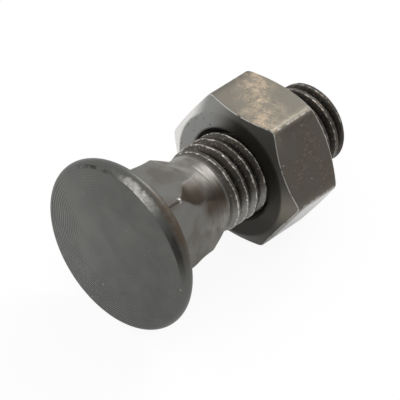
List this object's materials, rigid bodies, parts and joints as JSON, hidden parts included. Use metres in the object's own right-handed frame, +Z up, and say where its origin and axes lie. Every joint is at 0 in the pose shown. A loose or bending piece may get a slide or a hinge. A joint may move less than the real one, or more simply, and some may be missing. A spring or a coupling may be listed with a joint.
{
  "type": "plow bolt",
  "caption": "Plow bolt with a round, slightly crowned head, a square neck faired into it, a coarse metric thread and its hex nut, lying at rest.",
  "frame": {"origin": "middle of the footprint on the ground that the bolt lies on", "axes": "+Z up, +X along the bolt from its head to the end of its thread, which lies 4.5 degrees lower"},
  "size_m": [0.039, 0.0236, 0.0235],
  "materials": {
    "bolt_steel": "black oxide, oiled, worn bright on the rim and the thread crests",
    "nut_steel": "black oxide with brown rust tint, worn bright on the edges"
  },
  "bodies": {
    "bolt": {"bolt": "bolt_steel"},
    "nut": {"nut": "nut_steel"}
  },
  "joints": [
    {"name": "nut_travel", "type": "slide", "parent": "bolt", "child": "nut", "axis": [0.9969, 0, -0.0784], "range_m": [-0.0035, 0.0175]}
  ]
}
